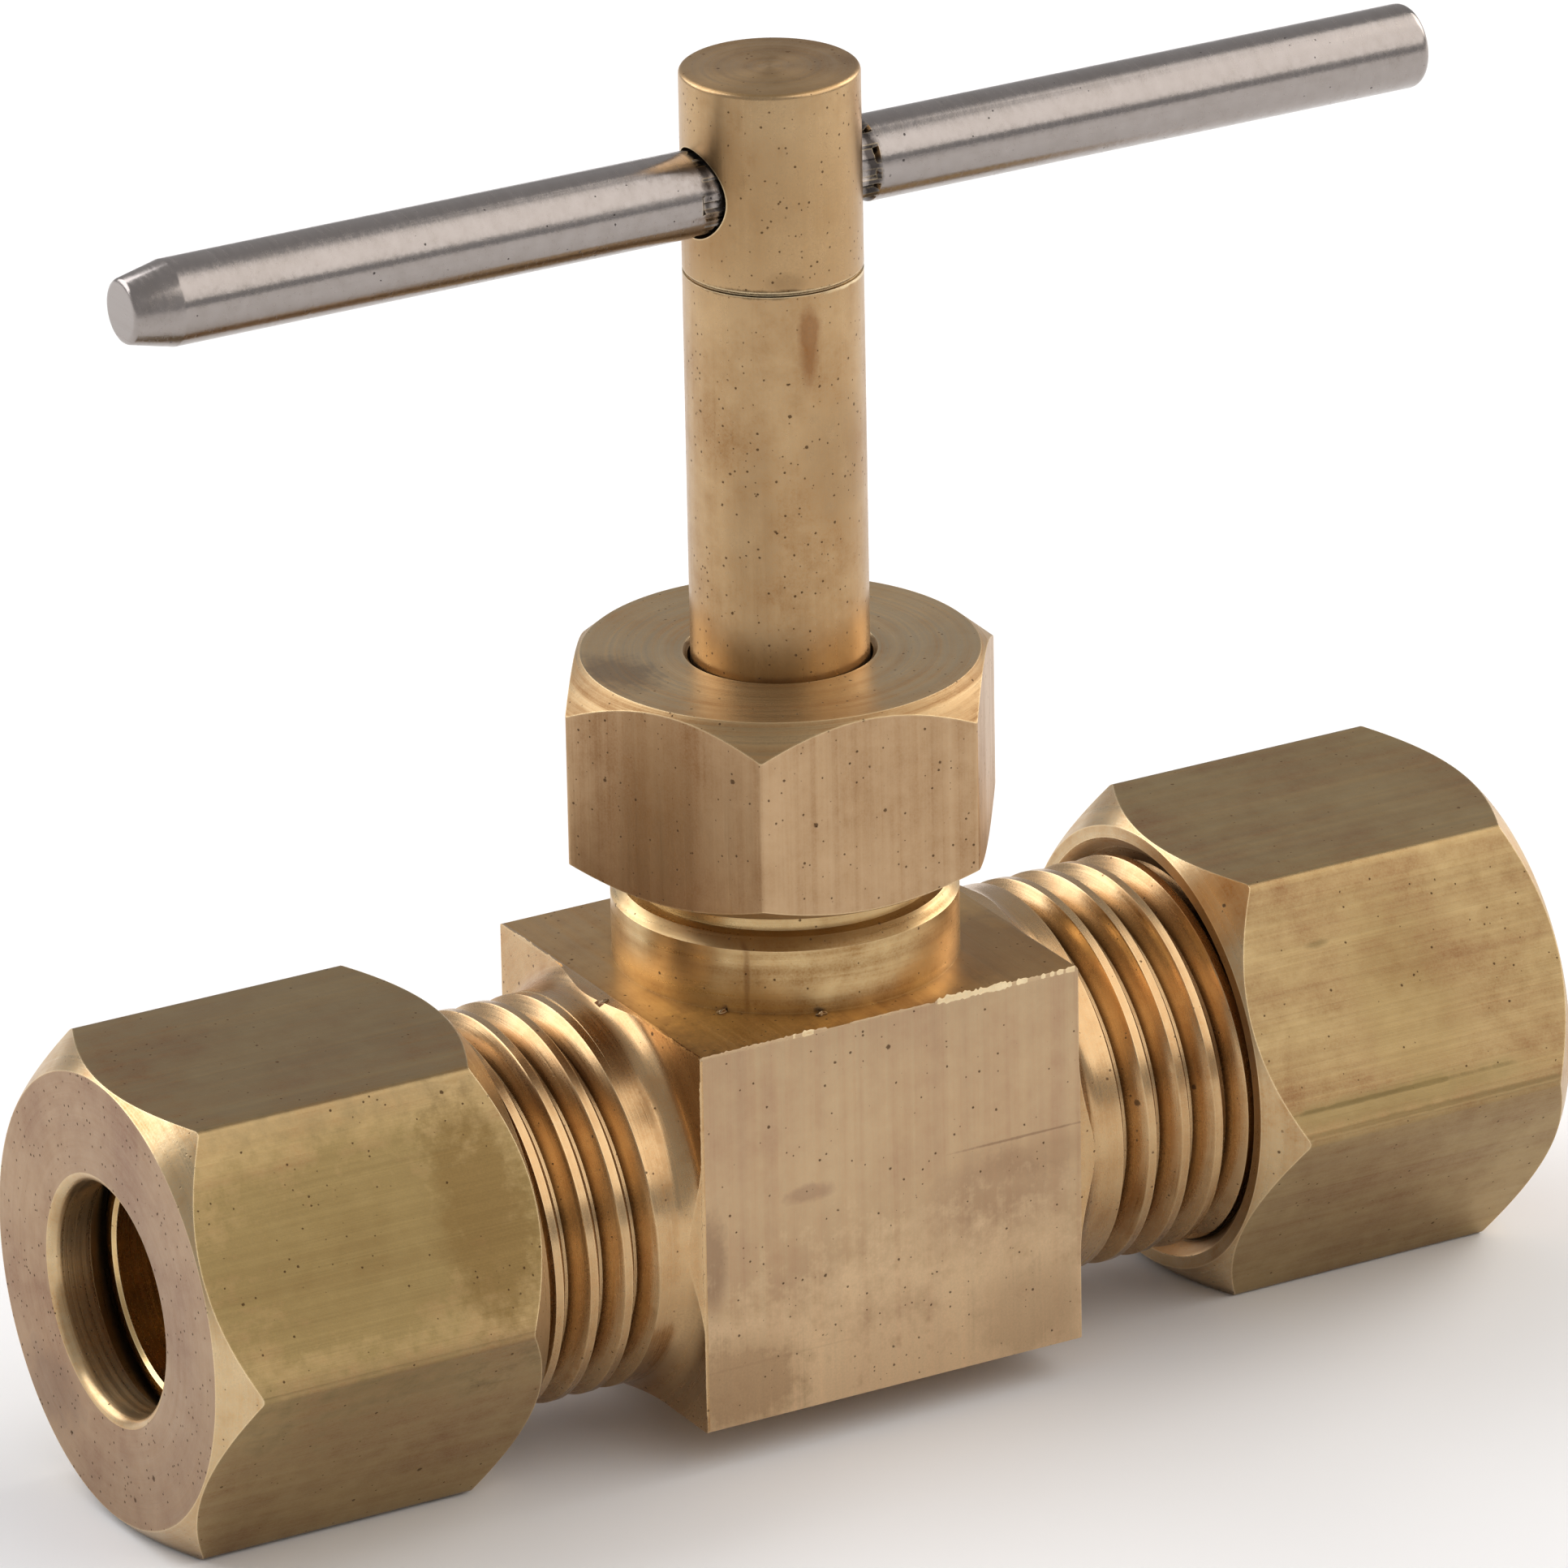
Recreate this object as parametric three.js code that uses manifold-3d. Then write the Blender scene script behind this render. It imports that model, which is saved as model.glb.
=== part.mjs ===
// A small brass needle valve with a T-bar handle and 1/4 in compression ends.
// Millimetres, +Z up. The stem axis is X = Y = 0, and Z = 0 is the lowest corner of the nuts.
import * as THREE from "three";
import { mergeVertices } from "three/addons/utils/BufferGeometryUtils.js";
import Module from "manifold-3d";

const wasm = await Module();
wasm.setup();

// Thread sizes: outer radius, root radius and pitch.
const PORT_THREAD = { crest: 5.5, root: 4.93, pitch: 1.058 };
const NECK_THREAD = { crest: 4.72, root: 4.15, pitch: 1.058 };
const STEM_THREAD = { crest: 2.08, root: 1.65, pitch: 0.794 };
const THREAD_PLAY = 0.13;

// Body: a square bar block with two spigots along X and a neck along Z.
const BLOCK_LEFT = 5.83;
const BLOCK_RIGHT = 5.94;
const BLOCK_WIDTH = 11.11;
const BLOCK_TOP = 5.58;
const BLOCK_BOTTOM = 5.44;
const SPIGOT_SHOULDER = 7.05;
const SPIGOT_END = 15.0;
const NECK_RADIUS = 4.75;
const NECK_SHOULDER = 7.4;
const NECK_THREAD_START = 8.9;
const NECK_TOP = 12.0;
const NECK_CHAMFER = 0.3;

// Waterway: tube sockets, offset passages, chamber and seat.
const SOCKET_RADIUS = 3.3;
const SOCKET_MOUTH_RADIUS = 4.35;
const SOCKET_MOUTH_DEPTH = 1.6;
const SOCKET_FLOOR = 9.6;
const PASSAGE_RADIUS = 0.9;
const INLET_HEIGHT = -1.7;
const OUTLET_HEIGHT = 0.9;
const SEAT_HEIGHT = -0.2;
const ORIFICE_RADIUS = 1.0;
const CHAMBER_RADIUS = 1.6;
const CHAMBER_TOP = 1.2;
const GUIDE_RADIUS = 2.5;
const GUIDE_FLOOR = 5.4;
const STUFFING_RADIUS = 3.4;
const STUFFING_FLOOR = 7.9;

// Stem: needle point, thread, plain shank with a turned witness ring, cross hole.
const STEM_RADIUS = 2.431;
const STEM_TOP = 30.89;
const STEM_EDGE = 0.12;
const STEM_THREAD_START = 1.5;
const STEM_THREAD_END = 5.1;
const STEM_SHANK_START = 5.5;
const NEEDLE_ROOT_RADIUS = 1.45;
const NEEDLE_TIP_RADIUS = 0.3;
const NEEDLE_SEAT_GAP = 0.03;
const NEEDLE_HALF_ANGLE = THREE.MathUtils.degToRad(30);
const WITNESS_HEIGHT = 25.3;
const WITNESS_DEPTH = 0.05;

// Handle bar through the stem.
const BAR_RADIUS = 1.17;
const BAR_HEIGHT = 27.77;
const BAR_LEFT = 19.45;
const BAR_RIGHT = 20.05;
const BAR_LEAD_LENGTH = 1.3;
const BAR_LEAD_RADIUS = 0.88;
const BAR_CHAMFER = 0.4;
const BAR_HOLE_PLAY = 0.06;

// Packing nut and what it presses on.
const PACKING_NUT_FLATS = 11.09;
const PACKING_NUT_CORNER = THREE.MathUtils.degToRad(-124.48);
const PACKING_NUT_BOTTOM = 8.62;
const PACKING_NUT_TOP = 14.3;
const PACKING_NUT_EDGE_LOW = 9.226;
const PACKING_NUT_EDGE_HIGH = 13.46;
const PACKING_NUT_FACE_RADIUS = 5.42;
const PACKING_NUT_CEILING = 13.0;
const STEM_HOLE_RADIUS = 2.54;
const WASHER_HEIGHT = 0.5;
const PACKING_HEIGHT = 0.8;
const FOLLOWER_HEIGHT = 1.99;
const RING_GAP = 0.03;
const RING_OUTER_RADIUS = 3.35;
const RING_INNER_RADIUS = 2.48;

// Compression nuts and ferrules, measured outward from each nut's inner face.
const NUT_FLATS = 12.7;
const NUT_LENGTH = 10.06;
const NUT_FACE_RADIUS = 6.3;
const NUT_INNER_EDGE = 1.05;
const NUT_OUTER_EDGE = 9.09;
const NUT_MOUTH_RADIUS = 5.95;
const NUT_MOUTH_DEPTH = 0.35;
const NUT_THREAD_END = 6.4;
const NUT_CAVITY_RADIUS = 4.95;
const NUT_CONE_START = 7.2;
const NUT_CONE_END = 8.85;
const TUBE_HOLE_RADIUS = 3.3;
const TUBE_HOLE_RIM = 0.25;
const LEFT_NUT = { face: 10.95, corner: THREE.MathUtils.degToRad(62.86) };
const RIGHT_NUT = { face: 11.27, corner: THREE.MathUtils.degToRad(64.07) };
const FERRULE_FRONT = 3.65;
const FERRULE_TAPER_END = 5.25;
const FERRULE_BACK = 8.2;
const FERRULE_BORE_RADIUS = 3.2;
const FERRULE_RADIUS = 4.0;
const FERRULE_FRONT_RADIUS = 3.45;
const FERRULE_BACK_EDGE = 0.4;

const SIDES_LARGE = 32;
const SIDES_SMALL = 24;
const TOOL_OVERRUN = 1;

const NUT_CORNER_RADIUS = NUT_FLATS / Math.sqrt(3);
const RUN_HEIGHT = NUT_CORNER_RADIUS * Math.sin(RIGHT_NUT.corner);

const finish = (color, roughness, metalness) => new THREE.MeshStandardMaterial({ color, roughness, metalness });
const barBrass = finish(0xb08a62, 0.45, 1);
const nutBrass = finish(0xa8905a, 0.4, 1);
const stemBrass = finish(0xbfa070, 0.35, 1);
const ferruleBrass = finish(0xd2b268, 0.3, 1);
const barSteel = finish(0x8f8a86, 0.35, 1);
const packingPtfe = finish(0xe8e6e0, 0.6, 0);

// A solid of revolution about Z from [radius, height] points that run up its outer side.
function turned(profile, sides) {
  const points = profile.map(([radius, height]) => new THREE.Vector2(radius, height));
  return new THREE.LatheGeometry(points, sides).rotateX(Math.PI / 2);
}

// A ring about Z: the outer side upward, then the bore downward, closed on itself.
function ring(outer, inner, low, high, sides) {
  return turned([[inner, low], [outer, low], [outer, high], [inner, high], [inner, low]], sides);
}

// A plain rod about Z.
function rod(radius, low, high, sides) {
  return turned([[0, low], [radius, low], [radius, high], [0, high]], sides);
}

// The crests and roots of a thread, as ridges between two heights.
function ridges({ crest, root, pitch }, low, high) {
  const count = Math.floor((high - low) / pitch);
  const points = [];
  for (let i = 0; i < count; i++) {
    points.push([root, low + i * pitch], [crest, low + (i + 0.5) * pitch]);
  }
  points.push([root, low + count * pitch]);
  return points;
}

// A hexagonal bar about Z with its first corner on +X.
function hexBar(acrossFlats, low, high) {
  const radius = acrossFlats / Math.sqrt(3);
  const corners = Array.from({ length: 6 }, (_, i) => {
    const angle = (i * Math.PI) / 3;
    return new THREE.Vector2(radius * Math.cos(angle), radius * Math.sin(angle));
  });
  const settings = { depth: high - low, bevelEnabled: false };
  return new THREE.ExtrudeGeometry(new THREE.Shape(corners), settings).translate(0, 0, low);
}

function toSolid(geometry) {
  const bare = geometry.clone();
  bare.deleteAttribute("normal");
  bare.deleteAttribute("uv");
  const merged = mergeVertices(bare, 1e-4);
  const corners = merged.index.array;
  const triangles = [];
  for (let i = 0; i < corners.length; i += 3) {
    const [a, b, c] = corners.slice(i, i + 3);
    if (a !== b && b !== c && c !== a) triangles.push(a, b, c);
  }
  const vertProperties = merged.attributes.position.array;
  const triVerts = new Uint32Array(triangles);
  return new wasm.Manifold(new wasm.Mesh({ numProp: 3, vertProperties, triVerts }));
}

function toGeometry(solid) {
  const { vertProperties, triVerts } = solid.getMesh();
  const geometry = new THREE.BufferGeometry();
  geometry.setAttribute("position", new THREE.BufferAttribute(vertProperties, 3));
  geometry.setIndex(new THREE.BufferAttribute(triVerts, 1));
  geometry.computeVertexNormals();
  return geometry;
}

const joined = (...geometries) => geometries.map(toSolid).reduce((sum, next) => sum.add(next));
const without = (solid, ...tools) => tools.map(toSolid).reduce((rest, tool) => rest.subtract(tool), solid);

function piece(name, geometry, material) {
  const mesh = new THREE.Mesh(geometry, material);
  mesh.name = name;
  return mesh;
}

// Turns a piece about Z so that it points along +X or -X.
const alongRun = (geometry, side) => geometry.rotateY((side * Math.PI) / 2);

function valveBody() {
  const length = BLOCK_LEFT + BLOCK_RIGHT;
  const height = BLOCK_TOP + BLOCK_BOTTOM;
  const block = new THREE.BoxGeometry(length, BLOCK_WIDTH, height);
  block.translate((BLOCK_RIGHT - BLOCK_LEFT) / 2, 0, (BLOCK_TOP - BLOCK_BOTTOM) / 2);
  const spigot = turned(
    [
      [0, BLOCK_LEFT - TOOL_OVERRUN],
      [PORT_THREAD.crest, BLOCK_LEFT - TOOL_OVERRUN],
      [PORT_THREAD.crest, SPIGOT_SHOULDER - NECK_CHAMFER],
      ...ridges(PORT_THREAD, SPIGOT_SHOULDER, SPIGOT_END),
      [PORT_THREAD.root, SPIGOT_END],
      [0, SPIGOT_END],
    ],
    SIDES_LARGE,
  );
  const neck = turned(
    [
      [0, BLOCK_TOP - TOOL_OVERRUN],
      [NECK_RADIUS, BLOCK_TOP - TOOL_OVERRUN],
      [NECK_RADIUS, NECK_SHOULDER],
      [NECK_RADIUS - NECK_CHAMFER, NECK_SHOULDER + NECK_CHAMFER],
      [NECK_THREAD.root, NECK_SHOULDER + NECK_CHAMFER],
      ...ridges(NECK_THREAD, NECK_THREAD_START, NECK_TOP),
      [NECK_THREAD.root, NECK_TOP],
      [0, NECK_TOP],
    ],
    SIDES_LARGE,
  );
  const socket = turned(
    [
      [0, SOCKET_FLOOR],
      [SOCKET_RADIUS, SOCKET_FLOOR],
      [SOCKET_RADIUS, SPIGOT_END - SOCKET_MOUTH_DEPTH],
      [SOCKET_MOUTH_RADIUS, SPIGOT_END],
      [SOCKET_MOUTH_RADIUS, SPIGOT_END + TOOL_OVERRUN],
      [0, SPIGOT_END + TOOL_OVERRUN],
    ],
    SIDES_LARGE,
  );
  const passage = rod(PASSAGE_RADIUS, 0, SOCKET_FLOOR + TOOL_OVERRUN, SIDES_SMALL);
  const stemBore = turned(
    [
      [0, INLET_HEIGHT],
      [ORIFICE_RADIUS, INLET_HEIGHT],
      [ORIFICE_RADIUS, SEAT_HEIGHT],
      [CHAMBER_RADIUS, SEAT_HEIGHT],
      [CHAMBER_RADIUS, CHAMBER_TOP],
      [STEM_THREAD.crest + THREAD_PLAY, CHAMBER_TOP],
      [STEM_THREAD.crest + THREAD_PLAY, GUIDE_FLOOR],
      [GUIDE_RADIUS, GUIDE_FLOOR],
      [GUIDE_RADIUS, STUFFING_FLOOR],
      [STUFFING_RADIUS, STUFFING_FLOOR],
      [STUFFING_RADIUS, NECK_TOP + TOOL_OVERRUN],
      [0, NECK_TOP + TOOL_OVERRUN],
    ],
    SIDES_SMALL,
  );
  const raw = joined(block, alongRun(spigot.clone(), -1), alongRun(spigot.clone(), 1), neck);
  const bored = without(
    raw,
    stemBore,
    alongRun(socket.clone(), -1),
    alongRun(socket.clone(), 1),
    alongRun(passage.clone(), -1).translate(0, 0, INLET_HEIGHT),
    alongRun(passage.clone(), 1).translate(0, 0, OUTLET_HEIGHT),
  );
  return piece("valve_body", toGeometry(bored), barBrass);
}

function stem() {
  const slope = Math.tan(NEEDLE_HALF_ANGLE);
  const seatRadius = ORIFICE_RADIUS - NEEDLE_SEAT_GAP;
  const heightAt = (radius) => SEAT_HEIGHT + (radius - seatRadius) / slope;
  const spindle = turned(
    [
      [0, heightAt(NEEDLE_TIP_RADIUS)],
      [NEEDLE_TIP_RADIUS, heightAt(NEEDLE_TIP_RADIUS)],
      [NEEDLE_ROOT_RADIUS, heightAt(NEEDLE_ROOT_RADIUS)],
      [NEEDLE_ROOT_RADIUS, STEM_THREAD_START],
      ...ridges(STEM_THREAD, STEM_THREAD_START, STEM_THREAD_END),
      [STEM_THREAD.root, STEM_SHANK_START],
      [STEM_RADIUS, STEM_SHANK_START],
      [STEM_RADIUS, WITNESS_HEIGHT - WITNESS_DEPTH],
      [STEM_RADIUS - WITNESS_DEPTH, WITNESS_HEIGHT],
      [STEM_RADIUS, WITNESS_HEIGHT + WITNESS_DEPTH],
      [STEM_RADIUS, STEM_TOP - STEM_EDGE],
      [STEM_RADIUS - STEM_EDGE, STEM_TOP],
      [0, STEM_TOP],
    ],
    SIDES_SMALL,
  );
  const reach = STEM_RADIUS + TOOL_OVERRUN;
  const hole = rod(BAR_RADIUS + BAR_HOLE_PLAY, -reach, reach, SIDES_SMALL);
  const crossHole = alongRun(hole, 1).translate(0, 0, BAR_HEIGHT);
  return piece("stem", toGeometry(without(toSolid(spindle), crossHole)), stemBrass);
}

function handleBar() {
  const bar = turned(
    [
      [0, -BAR_LEFT],
      [BAR_LEAD_RADIUS, -BAR_LEFT],
      [BAR_RADIUS, -BAR_LEFT + BAR_LEAD_LENGTH],
      [BAR_RADIUS, BAR_RIGHT - BAR_CHAMFER],
      [BAR_LEAD_RADIUS, BAR_RIGHT],
      [0, BAR_RIGHT],
    ],
    SIDES_SMALL,
  );
  const mesh = piece("handle_bar", alongRun(bar, 1), barSteel);
  mesh.position.z = BAR_HEIGHT;
  return mesh;
}

function packingNut() {
  const bar = hexBar(PACKING_NUT_FLATS, PACKING_NUT_BOTTOM, PACKING_NUT_TOP);
  const cornerRadius = PACKING_NUT_FLATS / Math.sqrt(3);
  const envelope = turned(
    [
      [0, PACKING_NUT_BOTTOM],
      [PACKING_NUT_FACE_RADIUS, PACKING_NUT_BOTTOM],
      [cornerRadius, PACKING_NUT_EDGE_LOW],
      [cornerRadius, PACKING_NUT_EDGE_HIGH],
      [PACKING_NUT_FACE_RADIUS, PACKING_NUT_TOP],
      [0, PACKING_NUT_TOP],
    ],
    SIDES_LARGE,
  );
  const threadRadius = NECK_THREAD.crest + THREAD_PLAY;
  const bore = turned(
    [
      [0, PACKING_NUT_BOTTOM - TOOL_OVERRUN],
      [threadRadius, PACKING_NUT_BOTTOM - TOOL_OVERRUN],
      [threadRadius, PACKING_NUT_CEILING],
      [STEM_HOLE_RADIUS, PACKING_NUT_CEILING],
      [STEM_HOLE_RADIUS, PACKING_NUT_TOP + TOOL_OVERRUN],
      [0, PACKING_NUT_TOP + TOOL_OVERRUN],
    ],
    SIDES_LARGE,
  );
  const shaped = toSolid(bar).intersect(toSolid(envelope));
  const mesh = piece("packing_nut", toGeometry(without(shaped, bore)), nutBrass);
  mesh.rotation.z = PACKING_NUT_CORNER;
  return mesh;
}

// The washer, the packing rings and the follower, stacked up from the stuffing box floor.
function glandStack() {
  const stack = new THREE.Group();
  const layers = [
    ["packing_washer", WASHER_HEIGHT, nutBrass],
    ["packing_ring_lower", PACKING_HEIGHT, packingPtfe],
    ["packing_ring_middle", PACKING_HEIGHT, packingPtfe],
    ["packing_ring_upper", PACKING_HEIGHT, packingPtfe],
    ["gland_follower", FOLLOWER_HEIGHT, ferruleBrass],
  ];
  let floor = STUFFING_FLOOR + RING_GAP;
  for (const [name, height, material] of layers) {
    const shape = ring(RING_OUTER_RADIUS, RING_INNER_RADIUS, floor, floor + height, SIDES_SMALL);
    stack.add(piece(name, shape, material));
    floor += height + RING_GAP;
  }
  return stack;
}

function compressionNut(name, corner) {
  const bar = hexBar(NUT_FLATS, 0, NUT_LENGTH);
  const envelope = turned(
    [
      [0, 0],
      [NUT_FACE_RADIUS, 0],
      [NUT_CORNER_RADIUS, NUT_INNER_EDGE],
      [NUT_CORNER_RADIUS, NUT_OUTER_EDGE],
      [NUT_FACE_RADIUS, NUT_LENGTH],
      [0, NUT_LENGTH],
    ],
    SIDES_LARGE,
  );
  const threadRadius = PORT_THREAD.crest + THREAD_PLAY;
  const bore = turned(
    [
      [0, -TOOL_OVERRUN],
      [NUT_MOUTH_RADIUS, -TOOL_OVERRUN],
      [NUT_MOUTH_RADIUS, 0],
      [threadRadius, NUT_MOUTH_DEPTH],
      [threadRadius, NUT_THREAD_END],
      [NUT_CAVITY_RADIUS, NUT_THREAD_END],
      [NUT_CAVITY_RADIUS, NUT_CONE_START],
      [TUBE_HOLE_RADIUS, NUT_CONE_END],
      [TUBE_HOLE_RADIUS, NUT_LENGTH - TUBE_HOLE_RIM],
      [TUBE_HOLE_RADIUS + TUBE_HOLE_RIM, NUT_LENGTH],
      [TUBE_HOLE_RADIUS + TUBE_HOLE_RIM, NUT_LENGTH + TOOL_OVERRUN],
      [0, NUT_LENGTH + TOOL_OVERRUN],
    ],
    SIDES_LARGE,
  );
  const shaped = toSolid(bar).intersect(toSolid(envelope));
  const mesh = piece(name, toGeometry(without(shaped, bore)), nutBrass);
  mesh.rotation.z = corner;
  return mesh;
}

function ferrule(name) {
  const shape = turned(
    [
      [FERRULE_BORE_RADIUS, FERRULE_FRONT],
      [FERRULE_FRONT_RADIUS, FERRULE_FRONT],
      [FERRULE_RADIUS, FERRULE_TAPER_END],
      [FERRULE_RADIUS, FERRULE_BACK - FERRULE_BACK_EDGE],
      [FERRULE_RADIUS - FERRULE_BACK_EDGE, FERRULE_BACK],
      [FERRULE_BORE_RADIUS, FERRULE_BACK],
      [FERRULE_BORE_RADIUS, FERRULE_FRONT],
    ],
    SIDES_LARGE,
  );
  return piece(name, shape, ferruleBrass);
}

// One end of the run: a nut and its ferrule, with local +Z pointing out of the valve.
function compressionEnd(label, side, { face, corner }) {
  const end = new THREE.Group();
  end.rotation.y = (side * Math.PI) / 2;
  const fittings = new THREE.Group();
  fittings.position.z = face;
  fittings.add(compressionNut(label + "_compression_nut", Math.PI / 2 + side * corner));
  fittings.add(ferrule(label + "_ferrule"));
  end.add(fittings);
  return end;
}

const valve = new THREE.Group();
valve.position.z = RUN_HEIGHT;
valve.add(valveBody());
valve.add(stem());
valve.add(handleBar());
valve.add(packingNut());
valve.add(glandStack());
valve.add(compressionEnd("left", -1, LEFT_NUT));
valve.add(compressionEnd("right", 1, RIGHT_NUT));

export default valve;
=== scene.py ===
import math
import random

import bmesh
import bpy
from mathutils import Matrix, Vector


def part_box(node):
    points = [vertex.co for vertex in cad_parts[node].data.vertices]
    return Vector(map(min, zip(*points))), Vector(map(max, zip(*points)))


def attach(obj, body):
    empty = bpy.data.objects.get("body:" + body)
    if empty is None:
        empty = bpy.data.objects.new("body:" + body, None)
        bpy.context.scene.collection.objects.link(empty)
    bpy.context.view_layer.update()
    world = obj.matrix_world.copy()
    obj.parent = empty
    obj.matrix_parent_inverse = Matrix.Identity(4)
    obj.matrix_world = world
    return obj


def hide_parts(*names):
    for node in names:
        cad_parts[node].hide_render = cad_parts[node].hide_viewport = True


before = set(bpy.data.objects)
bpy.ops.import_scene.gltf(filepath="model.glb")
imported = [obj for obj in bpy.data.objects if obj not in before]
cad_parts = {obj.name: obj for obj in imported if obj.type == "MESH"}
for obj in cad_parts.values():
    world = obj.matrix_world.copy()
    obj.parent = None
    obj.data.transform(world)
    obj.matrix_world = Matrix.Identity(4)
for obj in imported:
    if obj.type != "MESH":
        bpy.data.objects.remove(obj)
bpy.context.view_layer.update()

# --------------------------------------------------------------------------------------------------
# Valve body: sawn from 7/16 in square brass bar, then turned at both ends and on top for its threads.
# The front and back keep the saw and belt marks, and the turned parts are smooth and brighter.
# Meshes are built in millimetres about the crossing of the run and the stem, then put in the frame.
# --------------------------------------------------------------------------------------------------
MM = 0.001
Z_AXIS = Vector((0, 0, 1))
ferrule_low, ferrule_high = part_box("left_ferrule")
run_centre = Vector((0, 0, (ferrule_low.z + ferrule_high.z) / 2))


def box_mm(node):
    """The lowest and highest corners of a CAD node, in millimetres from the crossing of the axes."""
    low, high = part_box(node)
    return (low - run_centre) / MM, (high - run_centre) / MM


def spun(profile, steps=96):
    """A closed solid of revolution about Z from a profile of (radius, height) points."""
    bm = bmesh.new()
    verts = [bm.verts.new((radius, 0, height)) for radius, height in profile]
    edges = [bm.edges.new(pair) for pair in zip(verts, verts[1:])]
    bmesh.ops.spin(
        bm, geom=verts + edges, cent=(0, 0, 0), axis=Z_AXIS, angle=math.tau, steps=steps, use_merge=True
    )
    bmesh.ops.remove_doubles(bm, verts=bm.verts, dist=1e-4)
    bmesh.ops.recalc_face_normals(bm, faces=bm.faces)
    return bm


def arc(centre, radius, start, end, steps):
    """Points on an arc in a (radius, height) profile, between two angles in degrees."""
    turns = [math.radians(start + (end - start) * i / steps) for i in range(steps + 1)]
    return [(centre[0] + radius * math.cos(t), centre[1] + radius * math.sin(t)) for t in turns]


def threaded(crest, root, pitch, land, low, high, phase=0.0, steps=120):
    """A right-hand 60 degree screw about Z, cut square at both heights. land is the flat on the
    crest, and phase shifts the screw along its axis."""
    bm = bmesh.new()
    flank = (crest - root) * math.tan(math.radians(30))
    worn = 0.035
    start = low - 2 * pitch + phase
    verts = []
    for i in range(math.ceil((high - low) / pitch) + 4):
        foot = start + i * pitch
        for radius, rise in (
            (root, 0.0),
            (crest - worn, flank - worn * 0.5),
            (crest, flank + worn * 0.5),
            (crest, flank + land - worn * 0.5),
            (crest - worn, flank + land + worn * 0.5),
            (root, 2 * flank + land),
        ):
            verts.append(bm.verts.new((radius, 0, foot + rise)))
    edges = [bm.edges.new(pair) for pair in zip(verts, verts[1:])]
    step = Vector((0, 0, pitch / steps))
    bmesh.ops.spin(
        bm, geom=verts + edges, cent=(0, 0, 0), axis=Z_AXIS, dvec=step, angle=math.tau, steps=steps
    )
    bmesh.ops.remove_doubles(bm, verts=bm.verts, dist=1e-3)
    for height, side in ((low, -1), (high, 1)):
        everything = bm.verts[:] + bm.edges[:] + bm.faces[:]
        bmesh.ops.bisect_plane(
            bm, geom=everything, dist=1e-5, plane_co=(0, 0, height), plane_no=(0, 0, side),
            clear_outer=True,
        )
    bmesh.ops.holes_fill(bm, edges=[e for e in bm.edges if e.is_boundary])
    bmesh.ops.recalc_face_normals(bm, faces=bm.faces)
    return bm


def laid_along_x(bm, side):
    """Turns a part about Z so that its upper end points along +X (side 1) or -X (side -1)."""
    quarter_turn = Matrix.Rotation(side * math.pi / 2, 3, "Y")
    bmesh.ops.rotate(bm, verts=bm.verts, cent=(0, 0, 0), matrix=quarter_turn)
    return bm


def mesh_from(bm, name):
    """A mesh made from a bmesh, which is used up."""
    mesh = bpy.data.meshes.new(name)
    bm.to_mesh(mesh)
    bm.free()
    return mesh


def machined(base, *steps):
    """Joins, cuts or crosses a closed mesh with others, in order, and gives the result as a mesh."""
    work = bpy.data.objects.new("work", mesh_from(base, "work"))
    bpy.context.scene.collection.objects.link(work)
    tools = []
    for operation, bm in steps:
        tool = bpy.data.objects.new("tool", mesh_from(bm, "tool"))
        bpy.context.scene.collection.objects.link(tool)
        modifier = work.modifiers.new("cut", "BOOLEAN")
        modifier.operation = operation
        modifier.solver = "EXACT"
        modifier.object = tool
        tools.append(tool)
    bpy.context.view_layer.update()
    result = bpy.data.meshes.new_from_object(work.evaluated_get(bpy.context.evaluated_depsgraph_get()))
    for used in [work, *tools]:
        bpy.data.objects.remove(used)
    bm = bmesh.new()
    bm.from_mesh(result)
    sliver = 2e-4
    bmesh.ops.remove_doubles(bm, verts=bm.verts, dist=sliver)
    bmesh.ops.dissolve_degenerate(bm, edges=bm.edges, dist=sliver)
    bmesh.ops.holes_fill(bm, edges=[e for e in bm.edges if e.is_boundary])
    return bm


def finished(name, bm, finishes, pick, body, nodes):
    """Makes a piece from a mesh in millimetres: one finish per face, smooth but for its real edges."""
    for face in bm.faces:
        face.material_index = pick(face.normal, face.calc_center_median())
    bmesh.ops.transform(bm, matrix=Matrix.Translation(run_centre) @ Matrix.Scale(MM, 4), verts=bm.verts)
    mesh = mesh_from(bm, name)
    for finish in finishes:
        mesh.materials.append(finish)
    mesh.shade_smooth()
    real_edge = math.radians(28)
    mesh.set_sharp_from_angle(angle=real_edge)
    piece = bpy.data.objects.new(name, mesh)
    bpy.context.scene.collection.objects.link(piece)
    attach(piece, body)
    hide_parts(*nodes)
    return piece


def linear(code):
    """A colour for a shader socket from its sRGB hex code."""
    parts = [int(code[i : i + 2], 16) / 255 for i in (0, 2, 4)]
    return [p / 12.92 if p <= 0.04045 else ((p + 0.055) / 1.055) ** 2.4 for p in parts] + [1.0]


def add_node(tree, kind, inputs=None, **settings):
    """Adds a shader node with its settings, and links or fills its inputs."""
    node = tree.nodes.new("ShaderNode" + kind)
    for key, value in settings.items():
        setattr(node, key, value)
    for key, value in (inputs or {}).items():
        if isinstance(value, bpy.types.NodeSocket):
            tree.links.new(value, node.inputs[key])
        else:
            node.inputs[key].default_value = value
    return node


# How tool or die marks run: lines per millimetre on each axis, for marks drawn along one of them.
DRAWN_ALONG = {"X": (0.06, 6.0, 6.0), "Y": (6.0, 0.06, 6.0), "Z": (6.0, 6.0, 0.06)}


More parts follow.
